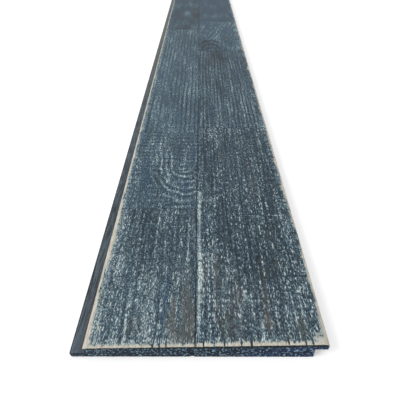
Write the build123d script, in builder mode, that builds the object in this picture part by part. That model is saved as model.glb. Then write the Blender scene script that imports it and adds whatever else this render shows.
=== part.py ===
from build123d import *
import os

# Shiplap board of two edge-glued staves, each finger-jointed from shorter blocks
# Millimetres. The board lies on its back: +Z is the face, +Y runs along the board, +X points to the upper lip
# The origin is the middle of the board's underside

# Board
board_length = 2438.4
board_width = 184.2
board_thickness = 14.3

# Lower lip, along the left edge and flush with the back
lower_lip_width = 10.8
lower_lip_thickness = 6.2
lower_lip_corner_radius = 0.9

# Upper lip, along the right edge and flush with the face
upper_lip_width = 9.4
upper_lip_thickness = 5.7
upper_lip_tip_radius = 0.6

# Shallow bevel along both long edges of the face
bevel_width = 3.0
bevel_depth = 0.8

# Edge-glue joint between the staves: a blunt tongue on the right stave seats in the left one
lower_stave_width = 89.8
face_land = 4.6
tongue_flank = 1.2
tongue_tip = 2.4
tongue_depth = 4.2
back_shift = 2.3

# Finger joints between the blocks of a stave, straight across the face and toothed on the edges
finger_length = 10.0
finger_pitch = 3.8
finger_tip = 0.6
finger_shoulder = 1.0

# Blocks, from the near end to the far end: the last block of a stave runs on to the board's end
lower_block_lengths = [138, 144, 473, 430, 375, 460]
upper_block_lengths = [295, 306, 224, 440, 390, 410]
shortest_block = 60.0

# Places that follow from the sizes
left_edge = -board_width / 2
right_edge = board_width / 2
near_end = -board_length / 2
far_end = board_length / 2
lower_step = left_edge + lower_lip_width
upper_shoulder = right_edge - upper_lip_width
upper_lip_underside = board_thickness - upper_lip_thickness
bevel_foot = board_thickness - bevel_depth
seam = left_edge + lower_stave_width


# Seam between the staves, from the face down to the back
def seam_line():
    flank_top = board_thickness - face_land
    tip_top = flank_top - tongue_flank
    tip_foot = tip_top - tongue_tip
    flank_foot = tip_foot - tongue_flank
    return [
        (seam, board_thickness),
        (seam, flank_top),
        (seam - tongue_depth, tip_top),
        (seam - tongue_depth, tip_foot),
        (seam - back_shift, flank_foot),
        (seam - back_shift, 0),
    ]


# Finger joint that meets the face at one distance along the board, from the face down to the back
def finger_line(joint):
    count = int((board_thickness - 2 * finger_shoulder) // finger_pitch)
    flank = finger_pitch / 2 - finger_tip
    first_root = (board_thickness + count * finger_pitch) / 2
    points = [(joint, board_thickness)]
    for finger in range(count):
        root = first_root - finger * finger_pitch - finger_tip / 2
        points.append((joint, root))
        points.append((joint + finger_length, root - flank))
        points.append((joint + finger_length, root - flank - finger_tip))
        points.append((joint, root - 2 * flank - finger_tip))
    points.append((joint, 0))
    return points


# Square end of the board, from the face down to the back
def end_line(place):
    return [(place, board_thickness), (place, 0)]


# Lines across the board at which the blocks of one stave begin and end
def block_lines(lengths):
    lines = [end_line(near_end)]
    joint = near_end
    for length in lengths:
        joint += length
        if joint + finger_length + shortest_block > far_end:
            break
        lines.append(finger_line(joint))
    lines.append(end_line(far_end))
    return lines


# Cross-section of the left stave: lower lip, step, bevelled arris and the groove for the tongue
with BuildSketch(Plane.XZ.offset(-near_end)) as lower_section:
    with BuildLine():
        Polyline(
            *seam_line(),
            (left_edge, 0),
            (left_edge, lower_lip_thickness),
            (lower_step, lower_lip_thickness),
            (lower_step, bevel_foot),
            (lower_step + bevel_width, board_thickness),
            close=True,
        )
    make_face()
    lip_corner = lower_section.vertices().group_by(Axis.X)[0].sort_by(Axis.Y)[0]
    fillet(lip_corner, radius=lower_lip_corner_radius)

# Cross-section of the right stave: tongue, shoulder, upper lip and its bevelled arris
with BuildSketch(Plane.XZ.offset(-near_end)) as upper_section:
    with BuildLine():
        Polyline(
            *seam_line(),
            (upper_shoulder, 0),
            (upper_shoulder, upper_lip_underside),
            (right_edge, upper_lip_underside),
            (right_edge, bevel_foot),
            (right_edge - bevel_width, board_thickness),
            close=True,
        )
    make_face()
    lip_tip = upper_section.vertices().group_by(Axis.X)[-1].sort_by(Axis.Y)[0]
    fillet(lip_tip, radius=upper_lip_tip_radius)


# Blocks of one stave: the stave's section, run the whole length and cut at the block's two lines
def make_blocks(name, section, lengths):
    blocks = []
    lines = block_lines(lengths)
    for number, (start, stop) in enumerate(zip(lines, lines[1:]), start=1):
        with BuildPart() as block:
            extrude(section.sketch, amount=-board_length)
            with BuildSketch(Plane.YZ):
                with BuildLine():
                    Polyline(*start, *reversed(stop), close=True)
                make_face()
            extrude(amount=board_width, both=True, mode=Mode.INTERSECT)
        block.part.label = f"{name}_{number}"
        blocks.append(block)
    return blocks


lower_blocks = make_blocks("lower_lip_block", lower_section, lower_block_lengths)
upper_blocks = make_blocks("upper_lip_block", upper_section, upper_block_lengths)

os.makedirs("parts", exist_ok=True)
for block in lower_blocks + upper_blocks:
    export_step(block.part, f"parts/{block.part.label}.step")
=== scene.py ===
"""Looks of a shiplap board: brushed and worn face, milled lips, sawn ends and plain back.

The board is two edge-glued staves, each finger-jointed from blocks. Every block is modelled again here with
its relief, replaces its plain solid and rides on the board's one body. Places are in millimetres: x across
the board, s along it from the near end and z up from its back. Meshes and nodes get them in metres.
"""
import logging
import math
from dataclasses import dataclass, field
from enum import Enum
from typing import ClassVar, Iterable

import bmesh
import bpy
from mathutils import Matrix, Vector, noise


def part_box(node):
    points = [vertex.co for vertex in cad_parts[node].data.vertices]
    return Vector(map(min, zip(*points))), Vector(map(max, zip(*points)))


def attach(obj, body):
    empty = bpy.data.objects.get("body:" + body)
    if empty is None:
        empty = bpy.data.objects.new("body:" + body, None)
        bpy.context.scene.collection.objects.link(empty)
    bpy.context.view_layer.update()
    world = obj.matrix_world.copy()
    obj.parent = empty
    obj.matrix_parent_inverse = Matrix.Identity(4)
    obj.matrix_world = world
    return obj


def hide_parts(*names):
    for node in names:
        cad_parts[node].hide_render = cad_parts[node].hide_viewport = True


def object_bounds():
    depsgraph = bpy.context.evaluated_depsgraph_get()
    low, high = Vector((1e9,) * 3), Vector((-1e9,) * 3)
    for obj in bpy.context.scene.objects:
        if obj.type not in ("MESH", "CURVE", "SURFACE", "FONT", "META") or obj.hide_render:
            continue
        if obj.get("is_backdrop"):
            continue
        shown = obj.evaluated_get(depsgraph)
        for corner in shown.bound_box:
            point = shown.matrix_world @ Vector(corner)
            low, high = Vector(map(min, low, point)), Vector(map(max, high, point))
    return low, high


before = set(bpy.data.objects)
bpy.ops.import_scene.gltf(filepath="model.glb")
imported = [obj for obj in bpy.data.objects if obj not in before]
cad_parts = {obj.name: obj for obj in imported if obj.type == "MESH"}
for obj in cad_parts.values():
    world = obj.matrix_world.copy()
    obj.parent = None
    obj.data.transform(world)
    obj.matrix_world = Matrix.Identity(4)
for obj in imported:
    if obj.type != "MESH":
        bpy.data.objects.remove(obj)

LOG = logging.getLogger("shiplap_board")
MM = 0.001
PER_MM = 1.0 / MM
BODY = "root"
CLOSE = 0.01


class Stave(Enum):
    """The two edge-glued halves of the board, by the name that their blocks begin with."""

    LOWER = "lower_lip_block"
    UPPER = "upper_lip_block"


class Skin(Enum):
    """The kinds of surface on a block, by their place in its list of materials."""

    FACE = 0
    MILLED = 1
    END_GRAIN = 2
    BACK = 3


def smooth_step(low: float, high: float, value: float) -> float:
    """Eases from 0 at low to 1 at high."""
    share = min(1.0, max(0.0, (value - low) / (high - low)))
    return share * share * (3.0 - 2.0 * share)


def wander(x: float, y: float, seed: float) -> float:
    """Smooth noise from about -1 to 1 over a plane."""
    return noise.noise(Vector((x, y, seed)))


def paint(code: str) -> tuple[float, float, float, float]:
    """Linear colour of a written screen colour such as 3a4b57."""
    parts = [int(code[i:i + 2], 16) / 255 for i in (0, 2, 4)]
    return (*(c / 12.92 if c <= 0.04045 else ((c + 0.055) / 1.055) ** 2.4 for c in parts), 1.0)


def put_in_scene(
    mesh: bmesh.types.BMesh, name: str, skins: Iterable[bpy.types.Material],
) -> bpy.types.Object:
    """Turns a finished mesh into an object of the scene.

    Args:
        mesh: The mesh, which is freed.
        name: Name of the object and its mesh.
        skins: Its materials.

    Returns:
        The object.
    """
    data = bpy.data.meshes.new(name)
    mesh.to_mesh(data)
    mesh.free()
    for skin in skins:
        data.materials.append(skin)
    piece = bpy.data.objects.new(name, data)
    bpy.context.scene.collection.objects.link(piece)
    return piece


@dataclass(frozen=True)
class Profile:
    """Cross-section of the board, between the edges and up to the face that its solids give."""

    left: float
    right: float
    top: float
    lower_lip_width: float = 10.8
    lower_lip_thickness: float = 6.2
    lower_lip_corner: float = 0.9
    upper_lip_width: float = 9.4
    upper_lip_thickness: float = 5.7
    upper_lip_corner: float = 0.6
    bevel_width: float = 3.0
    bevel_depth: float = 0.8
    lower_stave_width: float = 89.8
    face_land: float = 4.6
    tongue_flank: float = 1.2
    tongue_tip: float = 2.4
    tongue_depth: float = 4.2
    back_shift: float = 2.3
    seam_ease: float = 0.3
    finger_length: float = 10.0
    finger_pitch: float = 3.8
    finger_tip: float = 0.6
    finger_shoulder: float = 1.0
    arris_ease: float = 0.25

    @property
    def lower_step(self) -> float:
        """Where the face ends above the lower lip."""
        return self.left + self.lower_lip_width

    @property
    def upper_shoulder(self) -> float:
        """Where the underside ends below the upper lip."""
        return self.right - self.upper_lip_width

    @property
    def lip_foot(self) -> float:
        """Height of the upper lip's underside."""
        return self.top - self.upper_lip_thickness

    @property
    def bevel_foot(self) -> float:
        """Height at which the bevel of a long edge ends."""
        return self.top - self.bevel_depth

    @property
    def seam(self) -> float:
        """Where the staves meet on the face."""
        return self.left + self.lower_stave_width

    @property
    def finger_count(self) -> int:
        """Fingers across the thickness."""
        return int((self.top - 2 * self.finger_shoulder) // self.finger_pitch)

    @property
    def first_root(self) -> float:
        """Height at which the fingers begin, below the face."""
        return (self.top + self.finger_count * self.finger_pitch) / 2

    @property
    def finger_flank(self) -> float:
        """Height of a finger's sloping side."""
        return self.finger_pitch / 2 - self.finger_tip

    def seam_outline(self, stave: Stave) -> list[tuple[float, float]]:
        """Glue joint from the face down to the back, with the stave's arris a little eased.

        Args:
            stave: The side of the joint.

        Returns:
            Points across and up.
        """
        away = -self.seam_ease if stave is Stave.LOWER else self.seam_ease
        flank_top = self.top - self.face_land
        tip_top = flank_top - self.tongue_flank
        tip_foot = tip_top - self.tongue_tip
        flank_foot = tip_foot - self.tongue_flank
        return [
            (self.seam + away, self.top),
            (self.seam, self.top - self.seam_ease),
            (self.seam, flank_top),
            (self.seam - self.tongue_depth, tip_top),
            (self.seam - self.tongue_depth, tip_foot),
            (self.seam - self.back_shift, flank_foot),
            (self.seam - self.back_shift, 0.0),
        ]

    def outline(self, stave: Stave) -> list[tuple[float, float]]:
        """Whole outline of a stave.

        Args:
            stave: The stave.

        Returns:
            Points across and up, once round.
        """
        edges = {
            Stave.LOWER: [
                (self.left, 0.0),
                (self.left, self.lower_lip_thickness),
                (self.lower_step, self.lower_lip_thickness),
                (self.lower_step, self.bevel_foot),
                (self.lower_step + self.bevel_width, self.top),
            ],
            Stave.UPPER: [
                (self.upper_shoulder, 0.0),
                (self.upper_shoulder, self.lip_foot),
                (self.right, self.lip_foot),
                (self.right, self.bevel_foot),
                (self.right - self.bevel_width, self.top),
            ],
        }
        return self.seam_outline(stave) + edges[stave]

    def eased_arrises(self, stave: Stave) -> list[tuple[float, float, float]]:
        """Long edges that are rounded.

        Args:
            stave: The stave.

        Returns:
            Place across, height and radius of each.
        """
        if stave is Stave.LOWER:
            tip = (self.left, self.lower_lip_thickness, self.arris_ease)
            return [(self.left, 0.0, self.lower_lip_corner), tip]
        tip = (self.right, self.lip_foot, self.upper_lip_corner)
        return [(self.upper_shoulder, 0.0, self.arris_ease), tip]

    def finger_corners(self) -> list[float]:
        """Heights of the corners of a finger joint.

        Returns:
            The heights, from the face down.
        """
        flank = self.finger_flank
        steps = (0.0, flank, flank + self.finger_tip, 2 * flank + self.finger_tip)
        start = self.first_root - self.finger_tip / 2
        return [start - n * self.finger_pitch - step for n in range(self.finger_count) for step in steps]

    def finger_reach(self, height: float) -> float:
        """How far the fingers reach past the joint's line on the face.

        Args:
            height: Height above the back.

        Returns:
            The reach at that height.
        """
        below = self.first_root - height
        if not 0.0 < below < self.finger_count * self.finger_pitch:
            return 0.0
        to_middle = abs(below % self.finger_pitch - self.finger_pitch / 2)
        share = (self.finger_pitch / 2 - self.finger_tip / 2 - to_middle) / self.finger_flank
        return self.finger_length * min(1.0, max(0.0, share))

    def levels(self, stave: Stave) -> list[float]:
        """Heights at which a block's sides and ends are divided.

        Args:
            stave: The stave.

        Returns:
            The heights, from the back up.
        """
        corners = [height for _, height in self.outline(stave)]
        inside = [h for h in corners + self.finger_corners() if CLOSE < h < self.bevel_foot - CLOSE]
        return sorted({round(h, 4) for h in inside})


@dataclass(frozen=True)
class Arch:
    """Growth rings that cross the face as nested arches.

    Args:
        x: Middle of the arches.
        s: Foot of the arches.
        squeeze: Width of the arches over their length.
        pitch: Distance between rings, across.
        reach: Outermost ring's distance from the middle.
        strength: How pale the rings are, or how dark below zero.
        towards: 1 where the arches close away from the near end, -1 where they close towards it.
        legs: Length over which the legs fade.
    """

    x: float
    s: float
    squeeze: float
    pitch: float
    reach: float
    strength: float
    towards: int = 1
    legs: float = 60.0

    def height(self, x: float, s: float, seed: float) -> float:
        """Height that the rings add at a place.

        Args:
            x: Place across.
            s: Place along.
            seed: Seed of the block's noise.

        Returns:
            The height, as a share of the relief.
        """
        along = (s - self.s) * self.towards
        distance = math.hypot(x - self.x, along * self.squeeze) if along > 0 else abs(x - self.x)
        if distance > self.reach:
            return 0.0
        bend = 2.2 * wander(x / 17, s / 23, seed + 14.0) + 0.9 * wander(x / 5, s / 7, seed + 15.0)
        crest = (0.5 + 0.5 * math.cos(2 * math.pi * (distance + bend) / self.pitch)) ** 2
        inside = 1.0 - smooth_step(0.75 * self.reach, self.reach, distance)
        inside *= smooth_step(0.1 * self.reach, 0.35 * self.reach, distance)
        inside *= 1.0 - smooth_step(0.3 * self.legs, self.legs, -along)
        broken = smooth_step(-0.55, 0.15, wander(x / 8, s / 11, seed + 16.0))
        return self.strength * inside * broken * (crest - (0.3 if self.strength > 0 else 0.0))


@dataclass(frozen=True)
class Knot:
    """A small knot and the grain that flows round it."""

    x: float
    s: float
    half_width: float
    half_length: float
    flow: float

    def push(self, x: float, s: float) -> float:
        """How far the knot pushes the grain aside at a place."""
        near = math.exp(-((s - self.s) / self.flow) ** 2)
        return near * self.half_width * (x - self.x) / (abs(x - self.x) + self.half_width)

    def core(self, x: float, s: float) -> float:
        """Distance from the knot's middle, 1 at its rim."""
        return math.hypot((x - self.x) / self.half_width, (s - self.s) / self.half_length)


@dataclass(frozen=True)
class Patch:
    """A soft-edged place with its own tone.

    Args:
        x: Middle across.
        s: Middle along.
        half_width: Reach across.
        half_length: Reach along.
        pale: Change in how much pale wash shows.
        warm: Change towards brown, or towards blue below zero.
        calm: How far the brushing is rubbed smooth, from 0 to 1.
    """

    x: float
    s: float
    half_width: float
    half_length: float
    pale: float = 0.0
    warm: float = 0.0
    calm: float = 0.0

    def weight(self, x: float, s: float) -> float:
        """Share of the patch that counts at a place."""
        distance = math.hypot((x - self.x) / self.half_width, (s - self.s) / self.half_length)
        return 1.0 - smooth_step(0.5, 1.15, distance + 0.25 * wander(x / 9, s / 16, 3.3))


@dataclass(frozen=True)
class Score:
    """A thin line with its own tone, along the grain or straight across it.

    Args:
        place: Where the line runs: across the board, or along it for a line across.
        start: Where it begins.
        stop: Where it ends.
        pale: Change in how much pale wash shows.
        warm: Change towards brown, or towards blue below zero.
        half_width: Half of the line's width.
        across: Whether the line runs straight across the grain.
        gap: Share of the line that is broken away.
    """

    place: float
    start: float
    stop: float
    pale: float = 0.0
    warm: float = 0.0
    half_width: float = 0.9
    across: bool = False
    gap: float = 0.35

    def weight(self, x: float, s: float) -> float:
        """Share of the line that counts at a place.

        Args:
            x: Place across.
            s: Place along.

        Returns:
            The share, from 0 to 1.
        """
        aside, run = (s, x) if self.across else (x, s)
        off = aside - self.place - 1.2 * wander(0.0, run / 40, self.place)
        if abs(off) > 3 * self.half_width or not self.start < run < self.stop:
            return 0.0
        ends = smooth_step(0.0, 6.0, min(run - self.start, self.stop - run))
        broken = smooth_step(self.gap - 0.65, self.gap - 0.15, wander(3.0, run / 3.5, self.place))
        return ends * broken * math.exp(-(off / self.half_width) ** 2)


@dataclass(frozen=True)
class Grain:
    """Character of one block's face.

    Args:
        seed: Keeps the block's noise apart from its neighbours'.
        lean: Sideways run of the grain for each millimetre along the board.
        pale: Mean level of the tone, from 0 where darkest to 1 where palest.
        rows: Strength of the pale rows that follow the grain.
        specks: Strength of the short flecks.
        streaks: Strength of the long streaks.
        dashes: Strength of the pale dashes that gather in rows.
        lines: Strength of the even dark lines along the grain.
        line_pitch: Distance between those lines.
        kerfs: Strength of the saw marks across the face.
        kerf_pitch: Distance between saw marks.
        fleck: Size of the flecks across and along.
        joint: Half width of the dark line where the block begins.
        cloud: Strength of the slow changes of tone.
        warm: Brown in the stain, or blue below zero.
        cell: Size of the face's mesh cells across and along.
    """

    seed: float
    lean: float = 0.0
    pale: float = 0.45
    rows: float = 0.3
    specks: float = 0.5
    streaks: float = 0.4
    dashes: float = 0.4
    lines: float = 0.0
    line_pitch: float = 6.0
    kerfs: float = 0.2
    kerf_pitch: float = 3.0
    fleck: tuple[float, float] = (1.2, 3.2)
    joint: float = 0.4
    cloud: float = 0.3
    warm: float = 0.0
    cell: tuple[float, float] = (1.1, 2.4)
    arches: tuple[Arch, ...] = ()
    knots: tuple[Knot, ...] = ()
    patches: tuple[Patch, ...] = ()
    scores: tuple[Score, ...] = ()


@dataclass(frozen=True)
class Touch:
    """What brushing and wear have done at one place on the face: a depth, and what colours it."""

    NOTED: ClassVar[tuple[str, ...]] = ("ridge", "pale", "bare", "shade", "warm")

    depth: float
    ridge: float
    pale: float
    bare: float
    shade: float
    warm: float


@dataclass(frozen=True)
class Wear:
    """Where the arrises and ends are worn to bare wood.

    Args:
        left: Reach from the left edge of the face.
        right: Reach from the right edge.
        near: Reach from the near end.
        far: Reach from the far end.
        corner: Extra reach at the near corners.
        splits: Dark splits within the left strip: place from the edge, start and stop.
        chips: Small bare places: across, along, half width and half length.
        broad: Stretch where the left strip is broader: middle and half length.
        spared: Stretch of the right edge that kept its stain: middle and half length.
    """

    left: float = 3.8
    right: float = 2.7
    near: float = 2.7
    far: float = 1.6
    corner: float = 3.2
    splits: tuple[tuple[float, float, float], ...] = ((2.0, 40.0, 70.0), (1.6, 148.0, 165.0))
    chips: tuple[tuple[float, float, float, float], ...] = (
        (-73.4, 14.5, 1.1, 3.6), (-73.6, 4.6, 0.6, 2.6), (-36.6, 5.0, 0.4, 5.0), (83.0, 5.0, 1.5, 3.0),
    )
    broad: tuple[float, float] = (105.0, 50.0)
    spared: tuple[float, float] = (104.0, 17.0)

    @staticmethod
    def gap(x: float) -> float:
        """Share of a gap in the bare strip of the near end, where the stain is kept."""
        return smooth_step(0.24, 0.36, wander(x / 2.4, 4.0, 35.0))

    def split(self, from_left: float, s: float) -> float:
        """How far the dark splits cut into the left strip.

        Args:
            from_left: Distance from the left edge of the face.
            s: Place along.

        Returns:
            Distance that the splits take off.
        """
        taken = 0.0
        for place, start, stop in self.splits:
            if start < s < stop:
                off = from_left - place - 0.03 * (s - start)
                taper = smooth_step(0.0, 8.0, min(s - start, stop - s))
                taken += 4.5 * taper * math.exp(-(off / 0.6) ** 2)
        return taken

    def inside(self, profile: Profile, x: float, s: float, total: float) -> float:
        """How far a place lies inside bare wood, below zero where the stain is kept.

        Args:
            profile: Cross-section of the board.
            x: Place across.
            s: Place along.
            total: Length of the board.

        Returns:
            The distance.
        """
        widen = self.corner * math.exp(-s / 7.0)
        from_left = x - profile.lower_step
        left = self.left * (0.45 + 0.55 * math.exp(-s / 300)) + 0.5 * widen
        left += 1.1 * math.exp(-((s - self.broad[0]) / self.broad[1]) ** 2)
        left += 1.1 * wander(0.0, s / 15, 21.0) + 1.2 * wander(1.0, s / 3.2, 22.0)
        right = self.right + widen + 1.9 * wander(2.0, s / 26, 25.0) + 1.4 * wander(3.0, s / 4.5, 26.0)
        right -= 2.3 * math.exp(-((s - self.spared[0]) / self.spared[1]) ** 2)
        tooth = 2.2 * wander(x / 0.9, 0.0, 31.0) + 2.0 * wander(x / 3.0, 0.0, 33.0)
        tooth += 0.7 * smooth_step(profile.seam - 1, profile.seam + 1, x) - 3.4 * self.gap(x)
        reaches = [
            left - from_left,
            right - (profile.right - x),
            self.near + tooth - s,
            self.far + 1.2 * wander(x / 1.6, 0.0, 41.0) - (total - s),
        ]
        for chip_x, chip_s, half_width, half_length in self.chips:
            off = math.hypot((x - chip_x) / half_width, (s - chip_s) / half_length)
            reaches.append(half_width * (1.0 - off) + 0.9 * wander(x / 1.4, s / 2.6, 61.0))
        return max(reaches) - self.split(from_left, s)


@dataclass(frozen=True)
class Brushing:
    """Relief and wear over the face of one block.

    Args:
        profile: Cross-section of the board.
        grain: Character of the block's face.
        start: Where the block's face begins.
        stop: Where it ends.
        total: Length of the board.
        relief: Greatest depth of the brushing.
        joint_sink: Depth of the face at a joint.
        end_sink: Depth of the face at a sawn end.
        edge_sink: Depth of the face at a long edge.
        wear: Where the face is worn to bare wood.
    """

    profile: Profile
    grain: Grain
    start: float
    stop: float
    total: float
    relief: float = 0.42
    joint_sink: float = 0.16
    end_sink: float = 0.6
    edge_sink: float = 0.25
    wear: Wear = field(default_factory=Wear)

    def ridge(self, x: float, s: float) -> float:
        """Height of the brushed grain.

        Args:
            x: Place across.
            s: Place along.

        Returns:
            The height, from 0 in a groove to 1 on a ridge.
        """
        grain, seed = self.grain, self.grain.seed
        across = x + grain.lean * (s - self.start) + 1.6 * wander(x / 30, s / 90, seed)
        across += sum(knot.push(x, s) for knot in grain.knots)
        row = 1.0 - smooth_step(0.03, 0.15, abs(wander(across / 4.6, s / 160, seed + 3.0)))
        broken = smooth_step(-0.2, 0.2, wander(across / 2.5, s / 4.5, seed + 4.0))
        height = 0.42 + grain.rows * (row * broken - 0.13)
        height += 0.55 * grain.streaks * wander(across / 1.7, s / 40, seed + 1.7)
        wide, long = grain.fleck
        height += 0.6 * grain.specks * wander(across / wide, s / long, seed + 5.1)
        swing = across + 1.3 * wander(across / 9, s / 34, seed + 6.0)
        here = smooth_step(-0.35, 0.15, wander(across / 8, s / 60, seed + 7.0))
        groove = (0.5 + 0.5 * math.cos(2 * math.pi * swing / grain.line_pitch)) ** 3
        height -= 0.6 * grain.lines * here * (groove - 0.31)
        turn = s / grain.kerf_pitch + 0.8 * wander(x / 25, s / 40, seed + 8.0)
        kerf_here = smooth_step(-0.25, 0.4, wander(x / 18, s / 26, seed + 11.0))
        height += 0.3 * grain.kerfs * math.sin(2 * math.pi * turn) * kerf_here
        height += sum(arch.height(x, s, seed) for arch in grain.arches)
        return min(1.0, max(0.0, height))

    def sink(self, x: float, s: float) -> float:
        """How far the face falls away at joints, sawn ends and long edges.

        Args:
            x: Place across.
            s: Place along.

        Returns:
            The depth.
        """
        joint = min(s - self.start, self.stop - s)
        end = min(s, self.total - s)
        edge = min(x - self.profile.lower_step, self.profile.right - x)
        ragged_end = 0.7 + 0.5 * wander(x / 1.7, 0.0, 51.0)
        ragged_edge = 0.6 + 0.6 * wander(7.0, s / 4.0, 53.0)
        return (
            self.joint_sink * (1.0 - smooth_step(0.0, 0.9, joint))
            + self.end_sink * math.exp(-end / 0.8) * ragged_end
            + self.edge_sink * math.exp(-edge / 1.2) * ragged_edge
        )

    def touch(self, x: float, s: float) -> Touch:
        """Everything that brushing and wear have done at a place.

        Args:
            x: Place across.
            s: Place along.

        Returns:
            The depth, and the shares that colour the face.
        """
        grain = self.grain
        ridge = self.ridge(x, s)
        pale, warm, shade = grain.pale, grain.warm, 0.0
        pale += 0.3 * grain.cloud * wander(x / 24, s / 70, grain.seed + 17.0)
        for mark in (*grain.patches, *grain.scores):
            weight = mark.weight(x, s)
            pale += mark.pale * weight
            warm += mark.warm * weight
            if isinstance(mark, Patch):
                ridge += (0.45 - ridge) * mark.calm * weight
        for knot in grain.knots:
            core = knot.core(x, s)
            shade -= 2.2 * (1.0 - smooth_step(0.3, 1.4, core))
            ridge *= smooth_step(0.3, 1.2, core)
        inside = self.wear.inside(self.profile, x, s, self.total)
        if inside < 0:
            pale += 0.2 * (1.0 - smooth_step(0.0, 5.0, -inside))
        shade -= 1.3 * self.wear.gap(x) * math.exp(-s / 2.6)
        depth = self.relief * (1.0 - ridge) + self.sink(x, s)
        bare = min(1.0, max(-1.0, inside / 2.0))
        return Touch(max(0.0, depth), ridge, pale, bare, shade, warm)


@dataclass
class Bench:
    """Adds nodes to a new material or world and links them.

    Args:
        owner: The material or world.
    """

    owner: bpy.types.Material | bpy.types.World

    def __post_init__(self) -> None:
        """Clears the owner's nodes."""
        self.owner.use_nodes = True
        self.owner.node_tree.nodes.clear()

    def join(self, source: object, target: bpy.types.NodeSocket) -> None:
        """Links a socket to another, or writes a number or a written colour there.

        Args:
            source: The socket, number or colour.
            target: The socket that gets it.
        """
        if isinstance(source, bpy.types.NodeSocket):
            self.owner.node_tree.links.new(source, target)
        else:
            target.default_value = paint(source) if isinstance(source, str) else source

    def node(self, kind: str, inputs: dict[str | int, object], **settings: object) -> bpy.types.Node:
        """Adds a node.

        Args:
            kind: Its type, without the word that all shader nodes begin with.
            inputs: What its sockets get, by their name or number.
            settings: Its own settings.

        Returns:
            The node.
        """
        node = self.owner.node_tree.nodes.new(f"ShaderNode{kind}")
        for name, value in settings.items():
            setattr(node, name, value)
        for key, value in inputs.items():
            self.join(value, node.inputs[key])
        return node

    def math(self, operation: str, *values: object) -> bpy.types.NodeSocket:
        """Result of a sum on sockets or numbers."""
        return self.node("Math", dict(enumerate(values)), operation=operation).outputs[0]

    def times(self, first: object, second: object) -> bpy.types.NodeSocket:
        """Product of two sockets or numbers."""
        return self.math("MULTIPLY", first, second)

    def sum(self, *terms: tuple[object, float], offset: float = 0.0) -> bpy.types.NodeSocket:
        """Weighted sum of sockets.

        Args:
            terms: Pairs of a socket and its weight.
            offset: A number that is added.

        Returns:
            The socket that holds the sum.
        """
        total: object = offset
        for socket, weight in terms:
            total = self.math("MULTIPLY_ADD", socket, weight, total)
        return total

    def ease(
        self, source: object, low: float, high: float, to_low: float = 0.0, to_high: float = 1.0,
    ) -> bpy.types.NodeSocket:
        """Smooth step from to_low at low to to_high at high."""
        values = dict(enumerate((source, low, high, to_low, to_high)))
        return self.node("MapRange", values, interpolation_type="SMOOTHSTEP").outputs[0]

    def attribute(self, name: str) -> bpy.types.NodeSocket:
        """A number that the mesh carries at each point."""
        return self.node("Attribute", {}, attribute_name=name).outputs["Fac"]

    def object_place(self) -> bpy.types.NodeSocket:
        """Place on the object, in metres."""
        return self.node("TexCoord", {}).outputs["Object"]

    def run(self, axis: str) -> bpy.types.NodeSocket:
        """Place along X, Y or Z, in metres."""
        return self.node("SeparateXYZ", {0: self.object_place()}).outputs[axis]

    def stretch(self, size: tuple[float, float, float], seed: float) -> bpy.types.NodeSocket:
        """Place on the object, stretched so that a pattern's unit has a size.

        Args:
            size: Unit of the pattern across, along and up.
            seed: Shift that keeps patterns apart.

        Returns:
            The stretched place.
        """
        scale = [PER_MM / unit for unit in size]
        shift = (seed, seed * 1.7, seed * 0.6)
        inputs = {"Vector": self.object_place(), "Location": shift, "Scale": scale}
        return self.node("Mapping", inputs).outputs[0]

    def noise(
        self, size: tuple[float, float, float], seed: float, detail: float = 2.0,
    ) -> bpy.types.NodeSocket:
        """Noise whose spots have a size across, along and up."""
        inputs = {"Vector": self.stretch(size, seed), "Scale": 1.0, "Detail": detail}
        return self.node("TexNoise", inputs).outputs["Fac"]

    def bands(self, pitch: float, seed: float, distortion: float) -> bpy.types.NodeSocket:
        """Wavering bands across the board.

        Args:
            pitch: Distance between the bands.
            seed: Shift that keeps patterns apart.
            distortion: How far the bands waver.

        Returns:
            A socket that swings from 0 to 1.
        """
        unit = pitch * 20.0 / (2.0 * math.pi)
        inputs = {
            "Vector": self.stretch((unit * 4.0, unit, unit), seed),
            "Scale": 1.0,
            "Distortion": distortion,
            "Detail": 2.0,
            "Detail Scale": 0.6,
        }
        return self.node("TexWave", inputs, wave_type="BANDS", bands_direction="Y").outputs["Fac"]

    def hairline(self, axis: str, place: float, half_width: float, waver: object) -> bpy.types.NodeSocket:
        """Share of a thin line at one place on an axis.

        Args:
            axis: X, Y or Z.
            place: Where the line is.
            half_width: Half of the line's width.
            waver: Noise that sways the line.

        Returns:
            A socket that is 1 on the line and 0 off it.
        """
        start = -place - 1.5 * half_width
        off = self.sum((self.run(axis), PER_MM), (waver, 3.0 * half_width), offset=start)
        return self.ease(self.math("ABSOLUTE", off), 0.4 * half_width, 1.5 * half_width, 1.0, 0.0)

    def ramp(self, share: object, stops: tuple[tuple[float, str], ...]) -> bpy.types.NodeSocket:
        """Colour that runs through stops.

        Args:
            share: Where on the ramp, from 0 to 1.
            stops: Place and colour of each stop.

        Returns:
            The socket of the colour.
        """
        node = self.node("ValToRGB", {0: share})
        elements = node.color_ramp.elements
        while len(elements) < len(stops):
            elements.new(1.0)
        for element, (place, code) in zip(elements, stops):
            element.position = place
            element.color = paint(code)
        return node.outputs[0]

    def mix(self, share: object, first: object, second: object) -> bpy.types.NodeSocket:
        """Colour between two colours, each a socket or a written colour."""
        inputs = {0: share, 6: first, 7: second}
        return self.node("Mix", inputs, data_type="RGBA", clamp_factor=True).outputs[2]

    def matt(
        self, colour: object, roughness: object, normal: bpy.types.NodeSocket | None = None,
    ) -> bpy.types.NodeSocket:
        """Shader of a matt surface.

        Args:
            colour: Socket or written colour.
            roughness: Socket or number.
            normal: Socket of the bumped surface, if it has one.

        Returns:
            The shader's socket.
        """
        inputs = {"Base Color": colour, "Roughness": roughness, "Specular IOR Level": 0.28}
        if normal is not None:
            inputs["Normal"] = normal
        return self.node("BsdfPrincipled", inputs).outputs[0]

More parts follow.
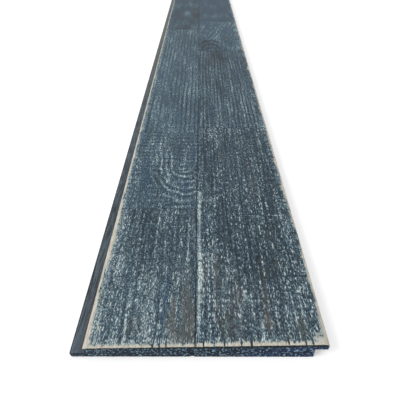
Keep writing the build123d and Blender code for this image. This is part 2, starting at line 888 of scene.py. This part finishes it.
    def finish(
        self, colour: object, roughness: object, height: object, depth: float, strength: float,
    ) -> bpy.types.Material:
        """Closes the material with a matt, bumped surface.

        Args:
            colour: Socket of the surface's colour.
            roughness: Socket or number.
            height: Socket that raises the bump.
            depth: Depth of the bump.
            strength: Strength of the bump.

        Returns:
            The material.
        """
        bump = self.node("Bump", {"Strength": strength, "Distance": depth * MM, "Height": height})
        self.node("OutputMaterial", {"Surface": self.matt(colour, roughness, bump.outputs[0])})
        return self.owner

    def seen(self) -> bpy.types.NodeSocket:
        """Finds the rays that show a background: from the camera, mirrored or seen through.

        Returns:
            A socket that is 1 for those rays.
        """
        path = self.node("LightPath", {})
        mirrored = self.math("MAXIMUM", path.outputs["Is Camera Ray"], path.outputs["Is Glossy Ray"])
        return self.math("MAXIMUM", mirrored, path.outputs["Is Transmission Ray"])


@dataclass(frozen=True)
class FaceFinish:
    """Dark stain, brushed and washed pale, worn to bare wood at the edges."""

    tones: tuple[tuple[float, str], ...] = (
        (0.0, "0f1a22"), (0.25, "263743"), (0.5, "465b67"),
        (0.68, "687e89"), (0.84, "9aaeb4"), (1.0, "d0d9d6"),
    )
    brown: str = "555049"
    blue: str = "2d4a68"
    green: str = "35433f"
    gap: str = "141b1f"
    bare_light: str = "dcd5c9"
    bare_dark: str = "b4ab9b"
    bare_grey: str = "9ba9a8"
    seam_half_width: float = 0.75

    def material(
        self, grain: Grain, name: str, lines: list[tuple[str, float, float]],
    ) -> bpy.types.Material:
        """The face of one block.

        Args:
            grain: Character of the block's face.
            name: Name of the material.
            lines: Hairlines at the block's joints: an axis, a place on it and a half width.

        Returns:
            The material.
        """
        bench = Bench(bpy.data.materials.new(name))
        seed = grain.seed
        ridge, pale, bare, shade, warm = map(bench.attribute, Touch.NOTED)
        wide, long = grain.fleck
        fibre = bench.noise((0.5, 9.0, 0.5), seed, 3.0)
        fleck = bench.noise((0.75 * wide, long, 0.75 * wide), seed + 4.0)
        dash = bench.ease(bench.noise((wide, 2.4 * long, wide), seed + 6.0, 1.0), 0.5, 0.68)
        dash_rows = bench.ease(bench.noise((2.6, 70.0, 2.6), seed + 11.0, 1.0), 0.42, 0.58, 0.1, 1.0)
        streak = bench.noise((1.9, 70.0, 1.9), seed + 9.0, 3.0)
        cloud = bench.noise((14.0, 50.0, 14.0), seed + 13.0)
        green = bench.noise((9.0, 26.0, 9.0), seed + 21.0)
        saw = bench.bands(grain.kerf_pitch, seed + 2.0, 6.0)

        layers = (
            (ridge, 0.75, 0.42),
            (fibre, 0.45 + 0.5 * grain.specks, 0.5),
            (fleck, 2.5 * grain.specks, 0.5),
            (streak, 1.2 * grain.streaks, 0.5),
            (saw, 0.2 * grain.kerfs, 0.5),
            (cloud, 0.7 * grain.cloud, 0.5),
            (bench.times(dash, dash_rows), grain.dashes, 0.12),
        )
        middle = sum(weight * mean for _, weight, mean in layers)
        weighted = ((socket, weight) for socket, weight, _ in layers)
        tone = bench.sum(*weighted, (pale, 1.0), (shade, 0.4), offset=-middle)

        coat = bench.ramp(tone, self.tones)
        browned = bench.sum((warm, 1.0), (cloud, 1.6), (fibre, 0.8), offset=-1.28)
        coat = bench.mix(bench.ease(browned, 0.0, 0.9, 0.0, 0.75), coat, self.brown)
        blued = bench.sum((warm, -1.0), (cloud, -1.6), (fleck, 0.8), offset=0.3)
        coat = bench.mix(bench.ease(blued, 0.0, 0.9, 0.0, 0.6), coat, self.blue)
        coat = bench.mix(bench.ease(green, 0.55, 0.75, 0.0, 0.45), coat, self.green)

        wood = bench.mix(bench.ease(fibre, 0.4, 0.62), self.bare_light, self.bare_dark)
        edge = bench.sum((bare, 1.0), (fibre, 1.5), (fleck, 1.6), offset=-1.55)
        wood = bench.mix(bench.ease(edge, 0.1, 0.75, 0.95, 0.1), wood, self.bare_grey)
        colour = bench.mix(bench.ease(edge, -0.08, 0.2), coat, wood)
        crack: object = 0.0
        for axis, place, half_width in lines:
            crack = bench.math("MAXIMUM", crack, bench.hairline(axis, place, half_width, cloud))
        broken = bench.ease(fibre, 0.35, 0.6, 0.3, 0.9)
        colour = bench.mix(bench.times(crack, broken), colour, self.gap)
        rough = bench.ease(tone, 0.1, 0.9, 0.62, 0.88)
        height = bench.sum((fibre, 0.8), (fleck, 0.6), (saw, 0.25 * grain.kerfs))
        return bench.finish(colour, rough, height, 0.35, 0.6)


@dataclass(frozen=True)
class MilledFinish:
    """Stained wood as the cutter left it, on the lips, the step and the shoulder, with painted shade at the
    foot of the step and a painted highlight on the lip near the near end.
    """

    plain: str = "54616a"
    dark: str = "2e373e"
    # painted highlight on the lip close to the near end
    blue: str = "5b6b79"
    dusty: str = "5f655e"
    rim: str = "171d22"
    spots: str = "262425"
    # painted shade along the foot of the step on the lower lip
    step_foot_shade: str = "463f3e"

    def material(self, profile: Profile, near_end: float) -> bpy.types.Material:
        """The milled surfaces of every block.

        Args:
            profile: Cross-section of the board.
            near_end: Place of the near end, in metres.

        Returns:
            The material.
        """
        bench = Bench(bpy.data.materials.new("milled_edge_stain"))
        fibre = bench.noise((1.1, 16.0, 1.1), 61.0)
        pores = bench.noise((1.1, 3.2, 1.1), 64.0)
        drift = bench.noise((30.0, 160.0, 30.0), 67.0)
        along = bench.run("Y")
        colour = bench.mix(bench.ease(fibre, 0.36, 0.62), self.dark, self.plain)
        aged = bench.sum((along, 1.0), (drift, 0.5), offset=-near_end - 0.25)
        colour = bench.mix(bench.ease(aged, 0.25, 0.75, 0.0, 0.85), colour, self.dusty)
        # Painted highlight: the lip is mixed towards a lighter blue close to the near end.
        near_end_highlight = bench.sum((along, 1.0), (drift, 0.08), offset=-near_end - 0.04)
        colour = bench.mix(bench.ease(near_end_highlight, -0.03, 0.03, 0.8, 0.0), colour, self.blue)
        colour = bench.mix(bench.ease(pores, 0.58, 0.72, 0.0, 0.8), colour, self.spots)
        # Painted shade on the lower lip along the foot of the step, strongest at the near end.
        foot = bench.hairline("X", profile.lower_step - 2.6, 2.0, drift)
        step_shade_fade = bench.ease(bench.sum((along, -5.0), (pores, 1.2), offset=5.0 * near_end), -0.1, 0.9)
        colour = bench.mix(bench.times(bench.times(foot, step_shade_fade), 0.55), colour, self.step_foot_shade)
        rim = bench.hairline("X", profile.left, 1.0, fibre)
        colour = bench.mix(bench.times(rim, 0.85), colour, self.rim)
        return bench.finish(colour, 0.62, bench.sum((fibre, 1.0), (pores, -0.5)), 0.15, 0.5)


@dataclass(frozen=True)
class EndGrainFinish:
    """Sawn end grain, soaked with stain, with torn pale flecks."""

    deep: str = "04090d"
    blue: str = "102a41"
    violet: str = "17356e"
    fleck: str = "96b9d0"
    top_edge: str = "0d160f"
    crack: str = "05080b"

    def material(self, profile: Profile) -> bpy.types.Material:
        """The sawn ends of the board.

        Args:
            profile: Cross-section of the board.

        Returns:
            The material.
        """
        bench = Bench(bpy.data.materials.new("end_grain_stain"))
        pores = bench.noise((1.5, 1.5, 1.4), 71.0, 4.0)
        tear = bench.noise((1.6, 1.6, 1.7), 75.0, 6.0)
        drift = bench.noise((16.0, 16.0, 9.0), 78.0)
        colour = bench.mix(bench.ease(pores, 0.42, 0.6), self.deep, self.blue)
        to_right = bench.sum((bench.run("X"), 8.0), (drift, 1.6), offset=-0.9)
        colour = bench.mix(bench.ease(to_right, 0.0, 0.8, 0.0, 0.5), colour, self.violet)
        colour = bench.mix(bench.ease(pores, 0.5, 0.4), colour, self.deep)
        colour = bench.mix(bench.ease(tear, 0.5, 0.72), colour, self.fleck)
        rim = bench.hairline("Z", profile.top - 1.0, 1.5, drift)
        colour = bench.mix(bench.times(rim, 0.95), colour, self.top_edge)
        colour = bench.mix(bench.times(bench.attribute("shade"), -0.9), colour, self.crack)
        return bench.finish(colour, 0.8, bench.sum((pores, 1.0), (tear, 0.5)), 0.4, 0.7)


@dataclass(frozen=True)
class BackFinish:
    """Planed back under a thin dark stain."""

    plain: str = "3d4853"
    dark: str = "29323a"
    thin: str = "5b5c58"

    def material(self) -> bpy.types.Material:
        """The back of every block.

        Returns:
            The material.
        """
        bench = Bench(bpy.data.materials.new("planed_back_stain"))
        fibre = bench.noise((1.3, 46.0, 1.3), 81.0, 4.0)
        drift = bench.noise((26.0, 130.0, 26.0), 84.0)
        planer = bench.bands(5.5, 87.0, 0.6)
        colour = bench.mix(bench.ease(fibre, 0.36, 0.66), self.dark, self.plain)
        colour = bench.mix(bench.ease(drift, 0.46, 0.64, 0.0, 0.55), colour, self.thin)
        return bench.finish(colour, 0.7, bench.sum((fibre, 0.9), (planer, 0.35)), 0.16, 0.4)


@dataclass(frozen=True)
class SawnEnd:
    """The cut end of the board.

    Args:
        recede: How far the cut's top corner lies back at the right.
        fade: Length over which the face follows the cut.
        tear: Depth of the torn fibres.
        seam_tear: Depth of the tear along the glue joint.
        lip_least: Narrowest that a lip can be.
        lip_limit: Widest that a lip can be.
        lip_columns: Divisions across the lip on the end.
        bevel_columns: Divisions across the bevel of the face.
        rows: Extra rows of the face close to the end, by their distance from it.
    """

    recede: float = 3.0
    fade: float = 24.0
    tear: float = 0.36
    seam_tear: float = 0.6
    lip_least: float = 5.0
    lip_limit: float = 30.0
    lip_columns: int = 12
    bevel_columns: int = 4
    rows: tuple[float, ...] = (0.35, 0.7, 1.25, 1.75, 2.25, 2.75, 3.3)


@dataclass
class Block:
    """One finger-jointed block of a stave, shaped in millimetres from the board's near end.

    Args:
        node: Name of the block's solid.
        stave: The stave that it belongs to.
        brushing: Relief and wear of its face.
        near_end: Place of the board's near end, in metres.
        end: Shape of the board's sawn ends.
        joint_rows: Extra rows of the face close to a joint, by their distance from it.
        mesh: The mesh that the methods shape.
    """

    node: str
    stave: Stave
    brushing: Brushing
    near_end: float
    end: SawnEnd = field(default_factory=SawnEnd)
    joint_rows: tuple[float, ...] = (0.5,)
    mesh: bmesh.types.BMesh = field(default_factory=bmesh.new)

    @property
    def profile(self) -> Profile:
        """Cross-section of the board."""
        return self.brushing.profile

    @property
    def near_cut(self) -> bool:
        """Whether the block's near end is the board's sawn end."""
        return self.brushing.start < CLOSE

    @property
    def far_cut(self) -> bool:
        """Whether the block's far end is the board's sawn end."""
        return self.brushing.total - self.brushing.stop < CLOSE

    def prism(self) -> None:
        """Runs the stave's section along the block."""
        start, stop = self.brushing.start, self.brushing.stop
        points = [self.mesh.verts.new((x, start, z)) for x, z in self.profile.outline(self.stave)]
        section = self.mesh.faces.new(points)
        grown = bmesh.ops.extrude_face_region(self.mesh, geom=[section])["geom"]
        moved = [part for part in grown if isinstance(part, bmesh.types.BMVert)]
        bmesh.ops.translate(self.mesh, vec=(0.0, stop - start, 0.0), verts=moved)
        bmesh.ops.recalc_face_normals(self.mesh, faces=self.mesh.faces)

    def ease_arrises(self) -> None:
        """Rounds the long edges of the lip and the shoulder."""
        for x, z, radius in self.profile.eased_arrises(self.stave):
            edges = [
                edge for edge in self.mesh.edges
                if all(abs(v.co.x - x) < CLOSE and abs(v.co.z - z) < CLOSE for v in edge.verts)
            ]
            bmesh.ops.bevel(
                self.mesh, geom=edges, offset=radius, offset_type="OFFSET", affect="EDGES",
                segments=3, profile=0.5, material=-1,
            )

    def cut_levels(self) -> None:
        """Divides sides and ends at the heights of the fingers and the section's corners."""
        for level in self.profile.levels(self.stave):
            self.cut(Vector((0.0, 0.0, level)), Vector((0.0, 0.0, 1.0)), self.mesh.faces)
        edge = self.profile.lower_step if self.stave is Stave.LOWER else self.profile.upper_shoulder
        self.cut(Vector((edge, 0.0, 0.0)), Vector((1.0, 0.0, 0.0)), self.mesh.faces)

    def cut(self, place: Vector, normal: Vector, faces: Iterable[bmesh.types.BMFace]) -> None:
        """Divides faces where a plane crosses them.

        Args:
            place: A point on the plane.
            normal: The plane's direction.
            faces: The faces that are divided.
        """
        chosen = list(faces)
        edges = {edge for face in chosen for edge in face.edges}
        verts = {vert for face in chosen for vert in face.verts}
        bmesh.ops.bisect_plane(
            self.mesh, geom=[*chosen, *edges, *verts], dist=CLOSE / 10, plane_co=place, plane_no=normal,
        )

    def on_face(self, *verts: bmesh.types.BMVert) -> bool:
        """Whether vertices lie on the face or its bevels.

        Args:
            verts: The vertices.

        Returns:
            Whether all of them do.
        """
        by_seam, foot = self.profile.top - self.profile.seam_ease, self.profile.bevel_foot
        feet = (by_seam if abs(v.co.x - self.profile.seam) < CLOSE else foot for v in verts)
        return all(vert.co.z > low - CLOSE for vert, low in zip(verts, feet))

    def divide_face(self) -> None:
        """Divides the face and its bevel into cells, and the sawn ends with them."""
        start, stop = self.brushing.start, self.brushing.stop
        sawn = [place for place, is_cut in ((start, self.near_cut), (stop, self.far_cut)) if is_cut]
        body, bevel, lip = [], [], []
        for edge in self.mesh.edges:
            first, last = (v.co for v in edge.verts)
            if abs(first.y - last.y) > CLOSE:
                continue
            run, drop = abs(first.x - last.x), abs(first.z - last.z)
            on_top = min(first.z, last.z) > self.profile.top - CLOSE
            on_end = any(abs(first.y - place) < CLOSE for place in sawn)
            if drop > CLOSE:
                if run > self.profile.bevel_width / 2 and self.on_face(*edge.verts):
                    bevel.append(edge)
            elif run > self.end.lip_limit and (on_top or on_end):
                body.append(edge)
            elif run > self.end.lip_least and on_end:
                lip.append(edge)
        across, along = self.brushing.grain.cell
        columns = int(max(edge.calc_length() for edge in body) / across)
        for edges, cuts in ((body, columns), (bevel, self.end.bevel_columns), (lip, self.end.lip_columns)):
            if edges:
                bmesh.ops.subdivide_edges(self.mesh, edges=edges, cuts=cuts)
        lines = [
            edge for edge in self.mesh.edges
            if abs(edge.verts[0].co.y - edge.verts[1].co.y) > CLOSE and self.on_face(*edge.verts)
        ]
        bmesh.ops.subdivide_edges(self.mesh, edges=lines, cuts=int((stop - start) / along))
        for row in self.end.rows if self.near_cut else self.joint_rows:
            self.divide_row(start + row)
        for row in self.end.rows if self.far_cut else self.joint_rows:
            self.divide_row(stop - row)

    def divide_row(self, place: float) -> None:
        """Adds one row of the face.

        Args:
            place: Place of the row along the board.
        """
        faces = [
            part for part in self.mesh.faces
            if min(v.co.y for v in part.verts) < place < max(v.co.y for v in part.verts)
            and self.on_face(*part.verts)
        ]
        self.cut(Vector((0.0, place, 0.0)), Vector((0.0, 1.0, 0.0)), faces)

    def sort_skins(self) -> None:
        """Gives each face its kind of surface."""
        for part in self.mesh.faces:
            if abs(part.normal.y) > 0.7:
                skin = Skin.END_GRAIN
            elif part.normal.z > 0.5 and self.on_face(*part.verts):
                skin = Skin.FACE
            elif part.normal.z < -0.7 and all(v.co.z < 1.0 for v in part.verts):
                skin = Skin.BACK
            else:
                skin = Skin.MILLED
            part.material_index = skin.value
            part.smooth = skin in (Skin.FACE, Skin.END_GRAIN)

    def carve(self) -> None:
        """Brushes the face, shapes the joints and the sawn ends, and notes the wear on the mesh."""
        layers = {name: self.mesh.verts.layers.float.new(name) for name in Touch.NOTED}
        for vert in self.mesh.verts:
            x, s, z = vert.co
            touched = self.on_face(vert)
            at_near = abs(s - self.brushing.start) < CLOSE
            at_far = abs(s - self.brushing.stop) < CLOSE
            if touched:
                touch = self.brushing.touch(x, s)
                for name, layer in layers.items():
                    vert[layer] = getattr(touch, name)
                vert.co.z -= touch.depth
            if (at_near and not self.near_cut) or (at_far and not self.far_cut):
                vert.co.y += self.profile.finger_reach(z)
            if self.near_cut and (at_near or touched) and s < self.end.fade:
                vert.co.y += self.sawn_shift(x, z, s)
            if (self.near_cut and at_near) or (self.far_cut and at_far):
                vert.co.y += self.tear(x, z) * (1.0 if at_near else -1.0)
                vert[layers["shade"]] = -self.seam_shadow(x, z)

    def tear(self, x: float, z: float) -> float:
        """Depth of the torn fibres on a sawn end."""
        rough = 0.5 + 0.5 * wander(x / 0.9, z / 0.8, 91.0) + 0.3 * wander(x / 5.0, z / 2.5, 93.0)
        return self.end.tear * min(1.0, max(0.0, rough)) + self.end.seam_tear * self.seam_shadow(x, z)

    def seam_shadow(self, x: float, z: float) -> float:
        """Share of the glue joint's shadow at a place on a sawn end.

        Args:
            x: Place across.
            z: Height above the back.

        Returns:
            The share, from 0 to 1.
        """
        path = self.profile.seam_outline(self.stave)
        for (x_high, high), (x_low, low) in zip(path, path[1:]):
            if low <= z <= high:
                joint = x_low + (x_high - x_low) * (z - low) / (high - low)
                drift = 1.1 * wander(1.0, z / 2.6, 97.0)
                return math.exp(-((x - joint - drift) / 1.3) ** 2)
        return 0.0

    def sawn_shift(self, x: float, z: float, s: float) -> float:
        """How far the near end lies behind a square cut, fading along the face."""
        across = (x - self.profile.left) / (self.profile.right - self.profile.left)
        return self.end.recede * across * z / self.profile.top * (1.0 - s / self.end.fade)

    def build(self, skins: list[bpy.types.Material]) -> bpy.types.Object:
        """Makes the block and puts it in place of its solid.

        Args:
            skins: The materials, in the order of Skin.

        Returns:
            The block's object.
        """
        self.prism()
        self.ease_arrises()
        self.cut_levels()
        self.divide_face()
        self.mesh.normal_update()
        self.sort_skins()
        self.carve()
        bmesh.ops.scale(self.mesh, vec=(MM, MM, MM), verts=self.mesh.verts)
        bmesh.ops.translate(self.mesh, vec=(0.0, self.near_end, 0.0), verts=self.mesh.verts)
        piece = put_in_scene(self.mesh, f"{self.node}_brushed", skins)
        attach(piece, BODY)
        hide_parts(self.node)
        return piece


FINE = (0.6, 1.0)
MEDIUM = (0.85, 1.5)

LOWER_GRAINS = (
    Grain(
        seed=1.3, lean=-0.012, pale=0.44, rows=0.35, specks=0.8, streaks=0.35, dashes=0.46, lines=0.3,
        line_pitch=7.2, kerfs=0.1, fleck=(0.75, 1.6), cell=FINE,
        patches=(
            Patch(-50.0, 22.0, 46.0, 44.0, pale=0.08, warm=0.1),
            Patch(-30.0, 108.0, 60.0, 46.0, pale=-0.08),
            Patch(-66.0, 92.0, 14.0, 40.0, pale=0.08),
            Patch(-12.0, 26.0, 13.0, 38.0, pale=0.03, warm=0.55, calm=0.35),
        ),
        scores=(
            Score(-41.8, 4.0, 75.0, pale=0.25, half_width=0.75),
            Score(-35.4, 2.0, 62.0, pale=0.25, half_width=0.75),
            Score(-20.9, 4.0, 70.0, pale=0.25, half_width=0.75),
            Score(-27.0, 8.0, 70.0, warm=-0.7, half_width=2.2, gap=0.0),
            Score(-15.0, 12.0, 66.0, warm=-0.6, half_width=1.8, gap=0.0),
            Score(-55.0, 70.0, 136.0, pale=0.25, half_width=1.0),
            Score(68.0, -80.0, -6.0, pale=0.14, across=True),
        ),
    ),
    Grain(
        seed=4.1, pale=0.43, rows=0.1, specks=0.7, streaks=0.1, kerfs=0.35, kerf_pitch=7.5,
        fleck=(1.1, 2.0), joint=0.3, cell=FINE, warm=-0.25,
        arches=(Arch(-16.0, 220.0, 0.6, 6.0, 48.0, 0.62, -1, 30.0),),
    ),
    Grain(
        seed=6.7, pale=0.46, rows=0.1, specks=0.6, streaks=0.25, dashes=0.15, lines=0.7, line_pitch=6.6,
        kerfs=0.1, fleck=(1.4, 3.0), joint=0.5, cell=MEDIUM, warm=-0.15,
        patches=(Patch(-45.0, 300.0, 48.0, 60.0, pale=0.04, calm=0.3),),
    ),
    Grain(
        seed=9.2, pale=0.38, rows=0.0, specks=0.25, dashes=0.0, kerfs=0.0, fleck=(2.6, 9.0), joint=1.7,
        cloud=0.8, warm=-0.1,
        patches=(
            Patch(-12.0, 905.0, 14.0, 60.0, pale=-0.25, warm=0.3),
            Patch(-26.0, 800.0, 20.0, 36.0, pale=-0.08),
        ),
    ),
    Grain(seed=12.6, lean=0.01, pale=0.5, specks=0.4),
    Grain(
        seed=15.8, pale=0.47, rows=0.1, specks=0.4, streaks=0.2,
        arches=(Arch(-40.0, 1750.0, 0.3, 9.0, 40.0, 0.4, -1),),
    ),
    Grain(seed=18.4, lean=-0.012, pale=0.52, rows=0.35, specks=0.35, streaks=0.5),
)

UPPER_GRAINS = (
    Grain(
        seed=21.3, pale=0.35, rows=0.4, specks=0.8, streaks=0.5, dashes=0.6, kerf_pitch=3.1,
        fleck=(0.85, 1.7), cell=FINE, warm=-0.05,
        patches=(
            Patch(40.0, 18.0, 60.0, 44.0, pale=0.09, warm=0.2),
            Patch(46.0, 108.0, 60.0, 56.0, pale=-0.07),
            Patch(84.0, 106.0, 6.0, 22.0, pale=0.16, warm=-0.3),
            Patch(0.2, 84.0, 3.0, 90.0, pale=0.08, calm=0.7),
        ),
        scores=(
            Score(0.2, 4.0, 168.0, pale=0.42, warm=-0.3, half_width=2.0, gap=0.0),
            Score(8.2, 3.0, 110.0, pale=0.3),
            Score(19.2, 2.0, 60.0, pale=0.3, warm=0.2),
            Score(27.2, 6.0, 80.0, pale=0.3),
            Score(37.4, 4.0, 60.0, pale=0.32),
            Score(46.9, 6.0, 120.0, pale=0.32),
            Score(59.3, 10.0, 70.0, pale=0.25),
            Score(72.4, 8.0, 70.0, pale=0.32),
            Score(79.0, 12.0, 60.0, pale=0.3),
            Score(14.0, 10.0, 90.0, warm=0.5, half_width=2.0, gap=0.0),
            Score(52.0, 10.0, 80.0, warm=0.4, half_width=2.5, gap=0.0),
            Score(68.0, 0.0, 84.0, pale=0.16, across=True),
            Score(37.0, 4.0, 60.0, pale=0.2, across=True),
            Score(22.5, 30.0, 84.0, pale=0.2, across=True),
            Score(129.0, 44.0, 61.0, pale=0.45, across=True, gap=0.1),
            Score(129.0, 68.0, 88.0, pale=0.5, across=True, gap=0.1),
        ),
    ),
    Grain(
        seed=24.9, pale=0.41, rows=0.15, specks=0.7, dashes=0.2, lines=0.95, line_pitch=5.6,
        fleck=(1.4, 3.0), cell=MEDIUM, warm=-0.1,
        patches=(
            Patch(40.0, 500.0, 46.0, 120.0, pale=-0.05),
            Patch(34.0, 555.0, 22.0, 60.0, pale=-0.16, warm=0.2),
        ),
    ),
    Grain(
        seed=27.5, pale=0.48, rows=0.2, specks=0.4, streaks=0.15, dashes=0.2, lines=0.5, line_pitch=10.0,
        kerfs=0.0, fleck=(2.2, 6.5), joint=1.5, cell=MEDIUM, lean=-0.25, warm=-0.35,
        arches=(Arch(24.0, 601.0, 0.45, 10.0, 38.0, -1.1),),
        knots=(Knot(13.0, 663.0, 9.0, 7.5, 26.0),),
        patches=(Patch(20.0, 630.0, 24.0, 32.0, pale=-0.12, warm=0.15),),
    ),
    Grain(
        seed=30.1, pale=0.36, rows=0.05, specks=0.35, streaks=0.35, dashes=0.0, kerfs=0.0,
        fleck=(2.6, 10.0), joint=0.8, cloud=0.5, warm=-0.35,
    ),
    Grain(seed=33.8, pale=0.5, specks=0.35, kerfs=0.25),
    Grain(
        seed=36.2, lean=0.02, pale=0.48, rows=0.25, specks=0.4, streaks=0.3,
        knots=(Knot(52.0, 1830.0, 6.0, 8.0, 30.0),),
    ),
    Grain(seed=39.7, pale=0.51, specks=0.4, streaks=0.45, kerfs=0.1),
)


@dataclass
class Panel:
    """The whole board: two staves of finger-jointed blocks.

    Args:
        low: Lowest corner of the solids, in metres.
        high: Highest corner.
        face: Finish of the face.
        milled: Finish of the lips, step and shoulder.
        end_grain: Finish of the sawn ends.
        back: Finish of the back.
    """

    low: Vector
    high: Vector
    face: FaceFinish = field(default_factory=FaceFinish)
    milled: MilledFinish = field(default_factory=MilledFinish)
    end_grain: EndGrainFinish = field(default_factory=EndGrainFinish)
    back: BackFinish = field(default_factory=BackFinish)

    def build(self) -> list[bpy.types.Object]:
        """Makes every block of both staves.

        Returns:
            The blocks' objects.
        """
        profile = Profile(self.low.x / MM, self.high.x / MM, self.high.z / MM)
        shared = [
            self.milled.material(profile, self.low.y),
            self.end_grain.material(profile),
            self.back.material(),
        ]
        lower = self.build_stave(Stave.LOWER, LOWER_GRAINS, profile, shared)
        return lower + self.build_stave(Stave.UPPER, UPPER_GRAINS, profile, shared)

    def build_stave(
        self, stave: Stave, grains: tuple[Grain, ...], profile: Profile, shared: list[bpy.types.Material],
    ) -> list[bpy.types.Object]:
        """Makes the blocks of one stave.

        Args:
            stave: The stave.
            grains: Character of each block's face, from the near end.
            profile: Cross-section of the board.
            shared: Materials that every block has after its face.

        Returns:
            The blocks' objects.
        """
        nodes = [f"{stave.value}_{number}" for number in range(1, len(grains) + 1)]
        total = (self.high.y - self.low.y) / MM
        places = [(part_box(node)[0].y - self.low.y) / MM for node in nodes] + [total]
        joints = [0.0] + [grain.joint for grain in grains[1:]] + [0.0]
        pieces = []
        for number, (node, grain) in enumerate(zip(nodes, grains)):
            brushing = Brushing(profile, grain, places[number], places[number + 1], total)
            lines = [("X", profile.seam - profile.seam_ease, self.face.seam_half_width)]
            for line in (number, number + 1):
                if joints[line]:
                    lines.append(("Y", self.low.y / MM + places[line], joints[line]))
            skins = [self.face.material(grain, f"{node}_face", lines), *shared]
            pieces.append(Block(node, stave, brushing, self.low.y).build(skins))
        return pieces


@dataclass(frozen=True)
class Studio:
    """Floor, soft light and camera, in metres and degrees.

    Args:
        near_end: Place of the board's near end along it.
    """

    near_end: float
    floor_size: float = 40.0
    floor_colour: str = "fbfbfb"
    floor_lift: float = 0.26
    sky: float = 0.5
    lens: float = 28.8
    sensor: float = 36.0
    nearest: float = 0.01
    camera_x: float = 0.00106
    camera_back: float = 0.0914
    camera_height: float = 0.2410
    camera_pitch: float = 43.1
    camera_turn: float = 0.09

    def build(self) -> None:
        """Makes the floor, the lights, the world and the camera."""
        self.lay_floor()
        self.light()
        self.fill_sky()
        self.set_camera()
        bpy.context.scene.view_settings.view_transform = "Standard"

    def lay_floor(self) -> None:
        """A plain pale floor, which the camera sees as white and which keeps the board's shadow."""
        bench = Bench(bpy.data.materials.new("floor_paint"))
        glow = bench.node("Emission", {"Strength": bench.times(bench.seen(), self.floor_lift)})
        both = bench.node("AddShader", {0: bench.matt(self.floor_colour, 0.9), 1: glow.outputs[0]})
        bench.node("OutputMaterial", {"Surface": both.outputs[0]})
        mesh = bmesh.new()
        bmesh.ops.create_grid(mesh, x_segments=1, y_segments=1, size=self.floor_size / 2)
        put_in_scene(mesh, "floor", [bench.owner])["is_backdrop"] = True

    def light(self) -> None:
        """Two large soft lamps, one above and one low at the left."""
        lamps = (
            ("overhead_softbox", (0.5, -0.4, 2.6), (0.0, -0.6, 0.0), 3.2, 22.0),
            ("side_softbox", (-2.0, -1.5, 1.8), (0.0, -0.8, 0.0), 1.3, 32.0),
        )
        for name, place, aim, size, power in lamps:
            lamp = bpy.data.lights.new(name, "AREA")
            lamp.size = size
            lamp.energy = power
            holder = bpy.data.objects.new(name, lamp)
            holder.location = place
            holder.rotation_euler = (Vector(aim) - Vector(place)).to_track_quat("-Z", "Y").to_euler()
            bpy.context.scene.collection.objects.link(holder)

    def fill_sky(self) -> None:
        """A soft even sky that the camera sees as white."""
        bench = Bench(bpy.data.worlds.new("studio_sky"))
        bpy.context.scene.world = bench.owner
        strength = bench.ease(bench.seen(), 0.0, 1.0, self.sky, 1.0)
        sky = bench.node("Background", {"Color": "ffffff", "Strength": strength})
        bench.node("OutputWorld", {"Surface": sky.outputs[0]})

    def set_camera(self) -> None:
        """The camera, above and a little before the near end, looking along the board."""
        data = bpy.data.cameras.new("camera")
        data.lens = self.lens
        data.sensor_width = self.sensor
        data.clip_start = self.nearest
        camera = bpy.data.objects.new("camera", data)
        camera.location = (self.camera_x, self.near_end - self.camera_back, self.camera_height)
        turn = (90.0 - self.camera_pitch, 0.0, self.camera_turn)
        camera.rotation_euler = [math.radians(angle) for angle in turn]
        bpy.context.scene.collection.objects.link(camera)
        bpy.context.scene.camera = camera


def main() -> None:
    """Builds the board and the studio."""
    logging.basicConfig(level=logging.INFO, format="%(name)s %(message)s")
    cad_low, cad_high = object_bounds()
    for piece in Panel(cad_low, cad_high).build():
        LOG.info("%s: %d faces", piece.name, len(piece.data.polygons))
    Studio(cad_low.y).build()


if __name__ == "__main__":
    main()
